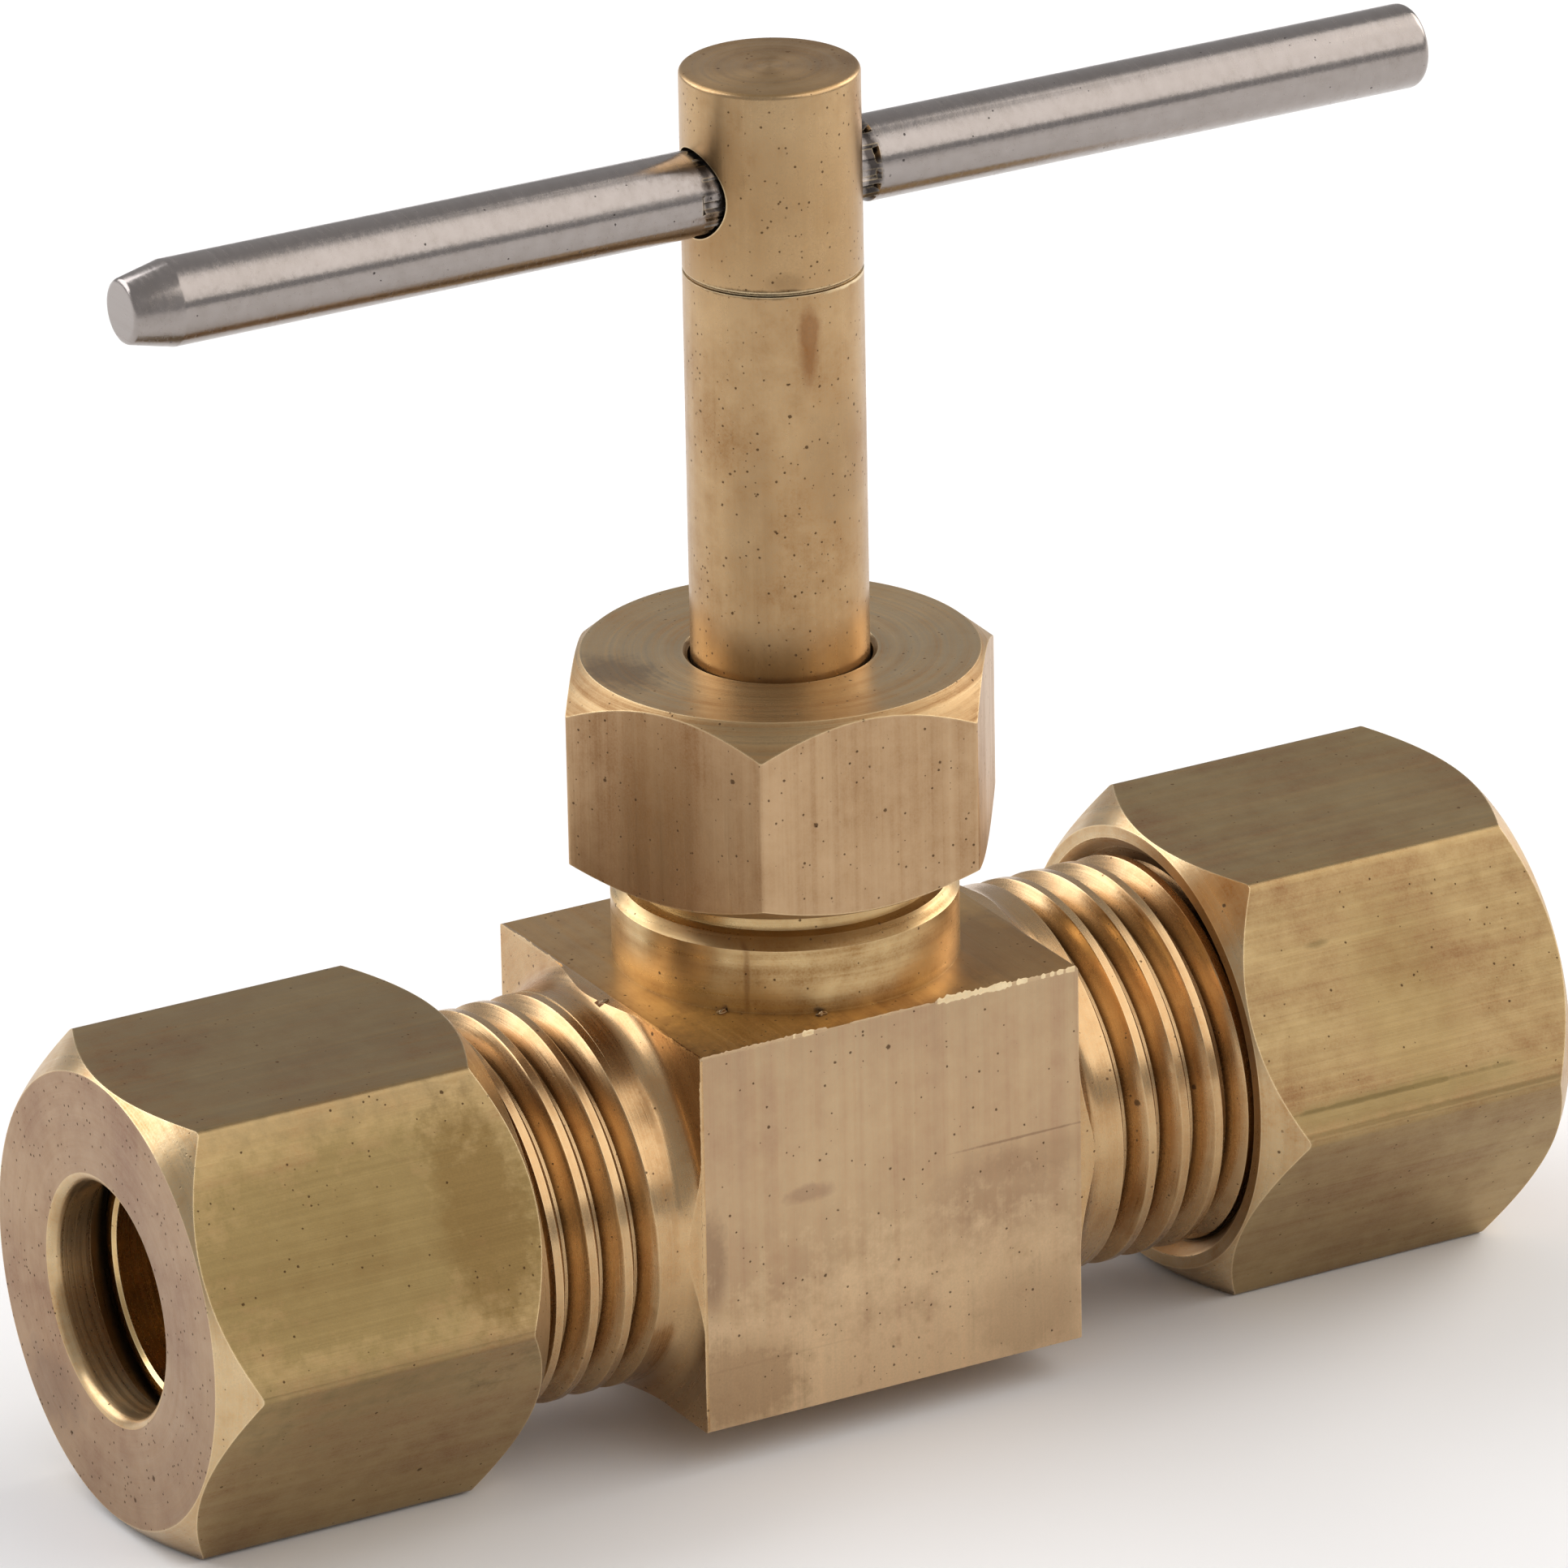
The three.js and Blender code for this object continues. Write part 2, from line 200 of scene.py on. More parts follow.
def noise_at(tree, vector, scale, detail, roughness=0.6):
    """Noise about a mean of zero, with scale in features per millimetre."""
    inputs = {"Vector": vector, "Scale": scale, "Detail": detail, "Roughness": roughness}
    node = add_node(tree, "TexNoise", inputs)
    return add_node(tree, "Math", {0: node.outputs[0], 1: 0.5}, operation="SUBTRACT").outputs[0]


def weighted(tree, level, *terms):
    """level plus the sum of each (value, weight)."""
    total = level
    for value, weight in terms:
        inputs = {0: value, 1: weight, 2: total}
        total = add_node(tree, "Math", inputs, operation="MULTIPLY_ADD").outputs[0]
    return total


def ramp(tree, value, start, end, top=1.0):
    """0 to top as value goes from start to end, and level beyond them."""
    inputs = {"Value": value, "From Min": start, "From Max": end, "To Max": top}
    return add_node(tree, "MapRange", inputs).outputs[0]


def mixed(tree, factor, first, second):
    """The first colour where factor is 0, and the second where it is 1."""
    inputs = {0: factor, 6: first, 7: second}
    return add_node(tree, "Mix", inputs, data_type="RGBA").outputs[2]


def metal(
    name, clean, stained, browned, roughness, marks, axis, depth=6.0, patch=0.4, clouds=0.5,
    streaks=0.3, specks=0.5, rubbed=0.9, grime_and_shade=0.0, sheen=0.0, stains=(), dirt="4a3220",
):
    """A worn metal: a clean colour where handled, tarnish, fine specks, and tool marks drawn along an
    axis or turned round it, depth microns deep.

    patch is how far the tarnish has spread, clouds how mottled it is, streaks how strong the marks
    show, and specks how many there are. rubbed lightens the edges, grime darkens the corners and
    roots that are shut in, with dirt and painted shade, and sheen spreads the highlights across the
    marks. stains are (centre, size, code, strength), in millimetres."""
    material = bpy.data.materials.new(name)
    material.use_nodes = True
    tree = material.node_tree
    tree.nodes.clear()
    place = add_node(tree, "TexCoord").outputs["Object"]
    spot = add_node(tree, "Mapping", {0: place, 1: -run_centre / MM, 3: (1 / MM,) * 3}).outputs[0]

    # Marks: long thin noise for drawn bar, rings for turned work.
    if marks == "drawn":
        inputs = {0: spot, 1: DRAWN_ALONG[axis]}
        along = add_node(tree, "VectorMath", inputs, operation="MULTIPLY").outputs[0]
    else:
        parts = add_node(tree, "SeparateXYZ", {0: spot}).outputs
        across = [parts[a] for a in "XYZ" if a != axis]
        flat = add_node(tree, "CombineXYZ", {0: across[0], 1: across[1]}).outputs[0]
        radius = add_node(tree, "VectorMath", {0: flat}, operation="LENGTH").outputs["Value"]
        ring = add_node(tree, "CombineXYZ", {0: radius, 1: parts[axis]}).outputs[0]
        ring = add_node(tree, "VectorMath", {0: ring, "Scale": 8.0}, operation="SCALE").outputs[0]
        wander = add_node(tree, "VectorMath", {0: spot, "Scale": 0.15}, operation="SCALE").outputs[0]
        along = add_node(tree, "VectorMath", {0: ring, 1: wander}, operation="ADD").outputs[0]
    # Real die and tool marks are finer than this: they are drawn as coarse as they need to show.
    lines = noise_at(tree, along, 1.0, 3.0, 0.7)
    bands = noise_at(tree, along, 0.3, 1.0)

    # Tarnish in patches of a few millimetres, mottled, and browner in places.
    patches = noise_at(tree, spot, 0.28, 4.0)
    mottle = noise_at(tree, spot, 1.7, 5.0, 0.68)
    grain = noise_at(tree, spot, 16.0, 2.0)
    tarnish = weighted(
        tree, patch, (patches, 3.0 * clouds), (mottle, 2.2 * clouds), (lines, 2.4 * streaks),
        (bands, 1.8 * streaks), (grain, 2.4 * clouds),
    )
    tarnish = ramp(tree, tarnish, 0.0, 1.0)
    brown = weighted(tree, 0.0, (patches, 0.7), (bands, 1.5 * streaks), (lines, streaks))
    brown = ramp(tree, brown, -0.12, 0.14)
    colour = mixed(tree, brown, linear(stained), linear(browned))
    colour = mixed(tree, tarnish, linear(clean), colour)

    for centre, size, code, strength in stains:
        inverse = [1 / extent for extent in size]
        shift = [-c / extent for c, extent in zip(centre, size)]
        away = add_node(tree, "Mapping", {0: spot, 1: shift, 3: inverse}).outputs[0]
        away = add_node(tree, "VectorMath", {0: away}, operation="LENGTH").outputs["Value"]
        away = weighted(tree, away, (mottle, 1.6), (patches, 1.2), (lines, 0.5))
        colour = mixed(tree, ramp(tree, away, 1.15, 0.55, strength), colour, linear(code))

    # Specks of dirt in small pits, about 0.1 to 0.2 mm across: many small ones, and a few large.
    sunk = 0.0
    for scale, share, size in ((5.0, 0.8, 0.045), (2.4, 0.45, 0.065), (1.0, 0.2, 0.11)):
        cells = add_node(tree, "TexVoronoi", {"Vector": spot, "Scale": scale})
        chosen = add_node(tree, "SeparateColor", {0: cells.outputs["Color"]}).outputs[0]
        reach = ramp(tree, chosen, 1 - share * specks, 1.0, size * scale)
        gap = weighted(tree, cells.outputs["Distance"], (reach, -1.0), (grain, 0.9 * size * scale))
        pit = ramp(tree, gap, 0.0, -0.3 * size * scale, 0.75)
        colour = mixed(tree, pit, colour, linear(dirt))
        sunk = weighted(tree, sunk, (pit, 1.0))

    shine = weighted(tree, 1.0, (lines, streaks), (mottle, 0.3 * clouds), (grain, 1.1 * clouds))
    colour = add_node(tree, "VectorMath", {0: colour, "Scale": shine}, operation="SCALE").outputs[0]

    # Dirt and painted shade: the colour darkens to deep brown in corners and roots that the occlusion
    # finds shut in.
    if grime_and_shade:
        open_sky = add_node(tree, "AmbientOcclusion", {"Distance": 0.5 * MM}, samples=6).outputs["AO"]
        grime_and_shade_brown = linear("3c2410")
        colour = mixed(tree, ramp(tree, open_sky, 0.62, 0.3, grime_and_shade), colour, grime_and_shade_brown)
    if rubbed:
        soft = add_node(tree, "Bevel", {"Radius": 0.07 * MM}, samples=4).outputs[0]
        facing = add_node(tree, "NewGeometry").outputs["Normal"]
        inputs = {0: soft, 1: facing}
        agree = add_node(tree, "VectorMath", inputs, operation="DOT_PRODUCT").outputs["Value"]
        bare_metal = linear("f0d8ac")
        colour = mixed(tree, ramp(tree, agree, 0.99, 0.91, rubbed), colour, bare_metal)

    gloss = weighted(tree, roughness, (tarnish, 0.10), (lines, 0.25), (sunk, 0.3))
    height = weighted(tree, lines, (mottle, 0.6), (grain, 0.12), (sunk, -0.5))
    relief = add_node(tree, "Bump", {"Height": height, "Distance": depth * 1e-6}).outputs[0]
    surface = {"Base Color": colour, "Roughness": gloss, "Normal": relief, "Metallic": 1.0}
    if sheen:
        inputs = {0: [float(a == axis) for a in "XYZ"], 1: spot}
        round_axis = add_node(tree, "VectorMath", inputs, operation="CROSS_PRODUCT").outputs[0]
        tangent = add_node(
            tree, "VectorTransform", {0: round_axis},
            vector_type="VECTOR", convert_from="OBJECT", convert_to="WORLD",
        )
        surface["Tangent"] = tangent.outputs[0]
        surface["Anisotropic"] = sheen
        surface["Anisotropic Rotation"] = 0.25
    shader = add_node(tree, "BsdfPrincipled", surface)
    add_node(tree, "OutputMaterial", {"Surface": shader.outputs[0]})
    return material


# Sawn and belt-sanded face of the bar: pale, satin, with fine upright lines and a few handling stains,
# and a painted pale wash that lightens its lower front against the shadow there.
sawn_bar_brass = metal(
    "sawn_bar_brass", clean="caaf8b", stained="b18f6b", browned="a9866a",
    roughness=0.38, marks="drawn", axis="Z", depth=9.0,
    patch=0.35, clouds=0.3, streaks=0.3, specks=0.45, rubbed=0.25,
    stains=[
        ((3.3, -5.5, -0.6), (2.1, 3.0, 1.5), "86634f", 0.3),
        ((4.9, -5.5, 0.4), (1.8, 3.0, 0.6), "8f6e54", 0.25),
        ((4.3, -5.5, 1.02), (2.4, 3.0, 0.045), "6a4c3c", 0.45),
        ((-3.6, -5.5, -3.7), (2.8, 3.0, 0.035), "70503e", 0.3),
        ((-5.6, -5.5, -0.6), (0.5, 3.0, 1.6), "7f6350", 0.5),
        ((-2.6, -5.5, 0.9), (0.7, 3.0, 0.25), "8b6a58", 0.4),
        # Painted light: a broad pale wash that lightens the lower front against its contact shadow.
        ((0.8, -5.5, -6.5), (14.0, 5.0, 5.0), "eacca4", 0.55),
        ((-4.7, -5.5, -4.4), (1.9, 3.0, 1.4), "8a6a4a", 0.5),
        ((4.3, -5.5, -4.2), (1.8, 3.0, 1.3), "97785a", 0.3),
    ],
)
# Drawn skin of the bar on top and underneath: duller and browner, with dirt and painted shade in the
# corner at the neck, and a painted golden reflection of the neck on the top at the front left.
bar_top_brass = metal(
    "bar_top_brass", clean="c9a56e", stained="aa8657", browned="9a7447",
    roughness=0.37, marks="drawn", axis="Y", depth=5.0,
    patch=0.45, clouds=0.45, specks=0.7, rubbed=0.2, grime_and_shade=0.3,
    stains=[
        ((4.6, -3.4, 5.6), (2.6, 3.0, 1.0), "83654a", 0.5),
        # Painted reflection: golden light from the neck on the top, at its front left.
        ((-3.8, -4.4, 5.6), (2.4, 1.6, 1.0), "f0c680", 0.7),
    ],
)
# Lathe-turned land and threads: bright rings of light on the crests, golden brown dirt and painted
# shade in the roots.
turned_run_brass = metal(
    "turned_run_brass", clean="c9a97e", stained="b48d60", browned="a67c50",
    roughness=0.23, marks="turned", axis="X", depth=4.0,
    patch=0.35, specks=0.45, rubbed=0.35, grime_and_shade=0.85, sheen=0.4,
)
# Lathe-turned neck: half bright and golden, with one brown seam in the bar.
turned_neck_brass = metal(
    "turned_neck_brass", clean="d3b787", stained="bb9969", browned="9a774b",
    roughness=0.29, marks="turned", axis="Z", depth=4.0,
    patch=0.35, specks=0.5, rubbed=0.3, grime_and_shade=0.6, sheen=0.3,
    stains=[
        ((-3.2, -3.5, 6.6), (0.09, 0.4, 1.5), "6b3f1c", 0.4),
    ],
)

# Freshly torn metal of the burr: pale cream, with no tarnish yet.
torn_edge_brass = metal(
    "torn_edge_brass", clean="f0dcb4", stained="d8b98a", browned="c09a68",
    roughness=0.30, marks="drawn", axis="X", depth=4.0,
    patch=0.3, specks=0.2,
)
# Loose crumbs left by the cutter: brown and dull.
torn_crumb_brass = metal(
    "torn_crumb_brass", clean="6b4a30", stained="55381f", browned="452c18",
    roughness=0.45, marks="drawn", axis="X", depth=4.0,
    specks=0.8, rubbed=0.5,
)

block_low, block_high = box_mm("valve_body")
half_width = (block_high.y - block_low.y) / 2
bar_top, bar_bottom = 5.58, -5.44
end_left, end_right = 5.83, 5.94
land_radius, thread_root, thread_pitch, crest_land = 5.5, 4.89, 1.058, 0.27
turned_radius = land_radius + 0.003
land_end = {-1: 7.12, 1: 7.2}
thread_phase = {-1: 0.30, 1: 0.42}
spigot_end = 15.0
tube_bore = 3.25
neck_radius, neck_shoulder, neck_relief = 4.75, 7.4, 4.15
neck_core_radius, neck_crest, neck_root, neck_land = 4.08, 4.72, 4.13, 0.2
neck_top = block_high.z


def square_bar():
    """The bar stock, long enough for both turned ends, with its corners broken by handling."""
    bm = bmesh.new()
    bmesh.ops.create_cube(bm, size=1.0)
    stock_length, broken_corner = 16, 0.07
    bmesh.ops.scale(bm, vec=(stock_length, 2 * half_width, bar_top - bar_bottom), verts=bm.verts)
    bmesh.ops.translate(bm, vec=(0, 0, (bar_top + bar_bottom) / 2), verts=bm.verts)
    lengthwise = [e for e in bm.edges if abs((e.verts[0].co - e.verts[1].co).x) > 1]
    bmesh.ops.subdivide_edges(bm, edges=lengthwise, cuts=70)
    corners = [
        e for e in bm.edges
        if abs((e.verts[0].co - e.verts[1].co).x) > 0.05
        and len(e.link_faces) == 2
        and e.calc_face_angle(0) > 1
    ]
    bmesh.ops.bevel(
        bm, geom=corners, offset=broken_corner, offset_type="OFFSET", affect="EDGES", segments=2,
        profile=0.5, material=-1,
    )
    bmesh.ops.recalc_face_normals(bm, faces=bm.faces)
    return bm


def facing_cut(side):
    """What the lathe takes off one end of the bar: all that is outside the land, with a round corner
    at the block."""
    end = end_left if side < 0 else end_right
    fillet = 0.75
    thread_start = land_end[side]
    core = thread_root - 0.05
    clear_radius, clear_end = 12, 9
    profile = [(clear_radius, end), (clear_radius, clear_end), (core, clear_end)]
    profile += [(core, thread_start + 0.4), (turned_radius, thread_start)]
    profile += [(turned_radius, end + fillet)]
    profile += arc((turned_radius + fillet, end + fillet), fillet, 180, 270, 8)[1:]
    profile += [(clear_radius, end)]
    return laid_along_x(spun(profile, 120), side)


def port_screw(side):
    """The 7/16-24 thread of one port, run out against the land."""
    start, phase = land_end[side] - 0.6, thread_phase[side]
    screw = threaded(land_radius, thread_root, thread_pitch, crest_land, start, spigot_end, phase)
    return laid_along_x(screw, side)


def tube_socket(side):
    """The bore for the tube, with the cone that the ferrule closes on, and the drilled passage behind
    it. The passage is below the seat on the inlet side and above it on the outlet side."""
    passage_height = -1.7 if side < 0 else 0.9
    passage_radius, mouth_radius = 0.9, 4.42
    socket = [(0, 9.6), (tube_bore, 9.6), (tube_bore, 13.4)]
    socket += [(mouth_radius, 15.1), (mouth_radius, 16), (0, 16)]
    bore = laid_along_x(spun(socket), side)
    drill = laid_along_x(spun([(0, 0), (passage_radius, 0), (passage_radius, 10), (0, 10)], 32), side)
    bmesh.ops.translate(drill, vec=(0, 0, passage_height), verts=drill.verts)
    return [("DIFFERENCE", bore), ("DIFFERENCE", drill)]


neck_profile = [(0, 4), (neck_radius, 4), (neck_radius, neck_shoulder)]
neck_profile += [(neck_radius - 0.3, neck_shoulder + 0.3), (neck_relief, neck_shoulder + 0.36)]
neck_profile += [(neck_relief, 8.9), (neck_core_radius, 8.96), (neck_core_radius, 11.5), (0, 11.5)]
neck_core = spun(neck_profile, 120)
neck_screw = threaded(neck_crest, neck_root, thread_pitch, neck_land, 8.7, neck_top)

# The bore steps out from the cross passage to the seat, the screw, the stem and the packing chamber.
stem_bore = spun(
    [(0, -1.7), (1.0, -1.7), (1.0, -0.2), (1.6, -0.2), (1.6, 1.2), (2.2, 1.2), (2.2, 5.4), (2.5, 5.4),
     (2.5, 7.9), (3.4, 7.9), (3.4, 13), (0, 13)], 64,
)
body_mesh = machined(
    square_bar(),
    ("DIFFERENCE", facing_cut(-1)),
    ("DIFFERENCE", facing_cut(1)),
    ("UNION", port_screw(-1)),
    ("UNION", port_screw(1)),
    ("UNION", neck_core),
    ("UNION", neck_screw),
    ("DIFFERENCE", stem_bore),
    *tube_socket(-1),
    *tube_socket(1),
)


def ragged_burr(bm, start, end, lift, out, heights, seed):
    """A thin torn sliver of metal standing on an edge, from start to end. Its height follows heights,
    and it leans out."""
    chance = random.Random(seed)
    start, end = Vector(start), Vector(end)
    step, faded = 0.07, 0.004
    count = max(6, int((end - start).length / step))
    cap = None
    for i in range(count + 1):
        along = i / count
        level = heights[min(int(along * len(heights)), len(heights) - 1)]
        size = level * (0.55 + 0.9 * chance.random() ** 2)
        if i in (0, count):
            size = faded
        foot = start.lerp(end, along)
        tip = foot + lift * size + out * size * 0.35 * chance.random()
        inner = foot - out * (0.02 + 0.5 * size) - lift * 0.02
        outer = foot - lift * (0.02 + 0.6 * size) + out * 0.006
        if cap is None:
            cap = bm.faces.new([bm.verts.new(point) for point in (inner, tip, outer)])
            continue
        made = bmesh.ops.extrude_face_region(bm, geom=[cap])["geom"]
        if i > 1:
            bmesh.ops.delete(bm, geom=[cap], context="FACES_ONLY")
        cap = [part for part in made if isinstance(part, bmesh.types.BMFace)][0]
        for vert, point in zip(cap.verts, (inner, tip, outer)):
            vert.co = point


def chip(bm, place, size, seed):
    """A torn crumb of metal left by the cutter."""
    chance = random.Random(seed)
    made = bmesh.ops.create_icosphere(bm, subdivisions=2, radius=size)["verts"]
    for vert in made:
        vert.co *= 0.55 + 0.7 * chance.random()
        vert.co.x *= 2.0
        vert.co += place


burrs = bmesh.new()
up, front, left = Vector((0, 0, 1)), Vector((0, -1, 0)), Vector((-1, 0, 0))
rim_points = [(x, -half_width, bar_top) for x in (-5.8, -1.9, -1.2, 1.3, 1.45, 5.9)]
ragged_burr(burrs, rim_points[0], rim_points[1], up, front, [0.03, 0.05, 0.05, 0.06, 0.08], 1)
ragged_burr(burrs, rim_points[2], rim_points[3], up, front, [0.02, 0.03, 0.02], 2)
tall_burr = [0.12, 0.13, 0.10, 0.12, 0.09, 0.08, 0.07, 0.1]
ragged_burr(burrs, rim_points[4], rim_points[5], up, front, tall_burr, 3)
side_face = -5.84
for seed, (near, far) in enumerate(((-5.5, -3.2), (-3.0, -1.9), (2.0, 5.5))):
    ends = (side_face, near, bar_top), (side_face, far, bar_top)
    ragged_burr(burrs, *ends, up, left, [0.05, 0.03, 0.06, 0.02], 5 + seed)
ends = (side_face, -half_width, 4.9), (side_face, -half_width, -4.9)
ragged_burr(burrs, *ends, left, front, [0.02, 0.03, 0.01], 9)
crumbs = [
    Vector((-3.75, -3.1, bar_top + 0.02)),
    Vector((-1.55, -4.65, bar_top + 0.02)),
    Vector((-6.05, -0.75, bar_top - 0.03)),
]
crumb_size = 0.08
for seed, place in enumerate(crumbs):
    chip(burrs, place, crumb_size, 11 + seed)
bmesh.ops.recalc_face_normals(burrs, faces=burrs.faces)
burr_mesh = mesh_from(burrs, "burrs")
body_mesh.from_mesh(burr_mesh)
bpy.data.meshes.remove(burr_mesh)


def body_finish(normal, centre):
    """The place in body_finishes of a face's finish."""
    hair = 0.01
    from_run = math.hypot(centre.y, centre.z)
    from_stem = math.hypot(centre.x, centre.y)
    from_crumb = min((centre - crumb).length for crumb in crumbs)
    if from_crumb < 0.2 and centre.z > bar_top - 0.2:
        return 5
    if centre.z > bar_top + 0.003 and centre.y < hair - half_width:
        return 4
    if centre.x < -end_left + hair or centre.x > end_right - hair:
        return 2
    if from_stem < neck_radius + hair and centre.z > bar_top + hair:
        return 3
    if abs(normal.z) > 0.9 and abs(centre.z) > 5.3:
        return 1
    return 0 if from_run > 4 else 2


body_finishes = [
    sawn_bar_brass, bar_top_brass, turned_run_brass, turned_neck_brass, torn_edge_brass,
    torn_crumb_brass,
]
finished("valve_body_brass", body_mesh, body_finishes, body_finish, "body", ["valve_body"])

# --------------------------------------------------------------------------------------------------
# Stem: drawn 3/16 in brass rod, centreless ground, with the needle, the 8-32 thread and a fine witness
# line turned on it, and cross-drilled near its top for the handle bar.
# --------------------------------------------------------------------------------------------------
stem_low, stem_high = box_mm("stem")
bar_low, bar_high = box_mm("handle_bar")
stem_radius = stem_high.x
bar_radius = (bar_high.z - bar_low.z) / 2
bar_height = (bar_high.z + bar_low.z) / 2
witness_height = 25.3

# Centreless-ground rod: smooth, pale gold, peppered with specks, and a dark ring in the witness line,
# with painted shade on its left front and a painted highlight on its lower lip at the right.
stem_rod_brass = metal(
    "stem_rod_brass", clean="c1a37b", stained="a98a62", browned="9a764e",
    roughness=0.29, marks="drawn", axis="Z", depth=3.0,
    patch=0.4, clouds=0.55, streaks=0.1, specks=1.15,
    stains=[
        ((-0.3, -2.4, 23.9), (0.35, 0.6, 1.3), "7c4a22", 0.6),
        ((-0.9, -2.3, 25.6), (0.6, 0.8, 0.3), "6d5236", 0.35),
        ((-1.7, -1.8, 18.5), (0.7, 0.9, 3.0), "967a58", 0.35),
        ((0.0, 0.0, 25.29), (9.0, 9.0, 0.09), "4a2c14", 0.8),
        # Painted shade: near black in the witness line on its left front.
        ((-1.5, -1.9, 25.3), (1.9, 1.5, 0.14), "201006", 1.0),
        # Painted highlight: a pale line on the lower lip of the witness line, at the right.
        ((1.5, -2.1, 25.2), (1.2, 1.0, 0.07), "f4dfb4", 0.8),
        ((0.0, 0.0, 27.2), (6.0, 6.0, 2.2), "a08058", 0.4),
        ((0.6, -2.3, 20.3), (1.2, 0.9, 2.2), "8f7352", 0.4),
        ((-2.1, -1.3, 28.8), (0.5, 0.9, 1.2), "8d6a42", 0.4),
    ],
)
# Parted-off end of the rod: olive brown, with fan-shaped light from the turning rings.
stem_end_brass = metal(
    "stem_end_brass", clean="bd9d72", stained="9f8157", browned="8b6d48",
    roughness=0.36, marks="turned", axis="Z", depth=5.0,
    patch=0.5, specks=0.7, sheen=0.5,
)
rim, witness_depth = 0.14, 0.06
needle_radius, screw_core, screw_crest, screw_root, screw_pitch = 1.45, 1.52, 2.08, 1.6, 0.794
witness_radius = stem_radius - witness_depth
stem_profile = [(0, stem_low.z), (0.3, stem_low.z), (needle_radius, 0.63), (needle_radius, 1.5)]
stem_profile += [(screw_core, 1.6), (screw_core, 5.3)]
stem_profile += [(2.2, 5.5), (stem_radius, 5.72), (stem_radius, witness_height - 0.07)]
stem_profile += [(witness_radius, witness_height - 0.05), (witness_radius, witness_height + 0.03)]
stem_profile += [(stem_radius, witness_height + 0.05)]
stem_profile += arc((stem_radius - rim, stem_high.z - rim), rim, 0, 90, 4)
stem_profile += [(0, stem_high.z)]
hole_radius = bar_radius + 0.07
cross_hole = laid_along_x(spun([(0, -4), (hole_radius, -4), (hole_radius, 4), (0, 4)], 64), 1)
bmesh.ops.translate(cross_hole, vec=(0, 0, bar_height), verts=cross_hole.verts)
stem_mesh = machined(
    spun(stem_profile, 128),
    ("UNION", threaded(screw_crest, screw_root, screw_pitch, 0.1, 1.7, 5.2, steps=64)),
    ("DIFFERENCE", cross_hole),
)

# A nick raised on the top rim by a knock.
nick = bmesh.new()
nick_radius, nick_height = 2.36, stem_high.z - 0.10
nick_ends = [
    (nick_radius * math.cos(a), nick_radius * math.sin(a), nick_height)
    for a in (math.radians(-62), math.radians(-48))
]
ragged_burr(nick, *nick_ends, up * 0.9, Vector((0.57, -0.82, 0)), [0.05, 0.06, 0.05], 21)
bmesh.ops.recalc_face_normals(nick, faces=nick.faces)
nick_mesh = mesh_from(nick, "nick")
stem_mesh.from_mesh(nick_mesh)
bpy.data.meshes.remove(nick_mesh)


def stem_finish(normal, centre):
    """The parted-off end on top, and the ground rod below."""
    return 1 if centre.z > stem_high.z - rim * 0.3 else 0


stem_finishes = [stem_rod_brass, stem_end_brass]
finished("stem_brass", stem_mesh, stem_finishes, stem_finish, "stem", ["stem"])

# --------------------------------------------------------------------------------------------------
# Handle bar: 3/32 in drawn steel wire, cut to length, pointed at one end so that it starts in the hole,
# and pressed through the stem.
# --------------------------------------------------------------------------------------------------
# Drawn and polished steel wire: cool grey, with sharp lengthwise bands of light across fine rings,
# and dark rings of painted shade where it enters the stem.
brushed_wire_steel = metal(
    "brushed_wire_steel", clean="a59e9a", stained="948b86", browned="8a817a",
    roughness=0.20, marks="turned", axis="X", depth=3.0,
    patch=0.3, clouds=0.06, streaks=0.25, specks=0.15, rubbed=0.3, sheen=0.75, dirt="2e2a2a",
    stains=[
        # Painted shade: dark rings on the bar just outside the stem, on both sides.
        ((2.55, 0, 27.77), (0.24, 3.0, 3.0), "241e1c", 0.85),
        ((-2.5, 0, 27.77), (0.2, 3.0, 3.0), "241e1c", 0.8),
    ],
)
left_end, right_end = bar_low.x, bar_high.x
knurl = 2.62
bar_profile = [(0, left_end), (0.72, left_end)]
bar_profile += arc((0.74, left_end + 0.16), 0.16, -90, -20, 3)
bar_profile += [(bar_radius - 0.03, left_end + 1.2)]
bar_profile += arc((bar_radius - 0.3, left_end + 1.36), 0.3, -12, 0, 3)
bar_profile += [(bar_radius, x) for x in (-knurl - 0.12, -knurl, knurl, knurl + 0.12)]
bar_profile += arc((bar_radius - 0.28, right_end - 0.28), 0.28, 0, 90, 6)
bar_profile += [(0, right_end)]
bar_steps, notch_steps = 96, 3
bar_mesh = laid_along_x(spun(bar_profile, bar_steps), 1)

# Where the bar enters the stem its skin is pressed in, in notches of random depth.
chance = random.Random(31)
notches = [
    [chance.choice((1.0, 0.97, 0.9, 0.86)) for _ in range(bar_steps // notch_steps)] for _ in range(2)
]
for vert in bar_mesh.verts:
    column = round(math.atan2(vert.co.z, vert.co.y) / math.tau * bar_steps) % bar_steps
    if abs(vert.co.x) < 2.7:
        pressed = notches[vert.co.x > 0][column // notch_steps]
        vert.co.y *= pressed
        vert.co.z *= pressed
bmesh.ops.translate(bar_mesh, vec=(0, 0, bar_height), verts=bar_mesh.verts)


def one_finish(normal, centre):
    """For a piece that is the same all over."""
    return 0


finished(
    "handle_bar_steel", bar_mesh, [brushed_wire_steel], one_finish, "stem", ["handle_bar"]
)

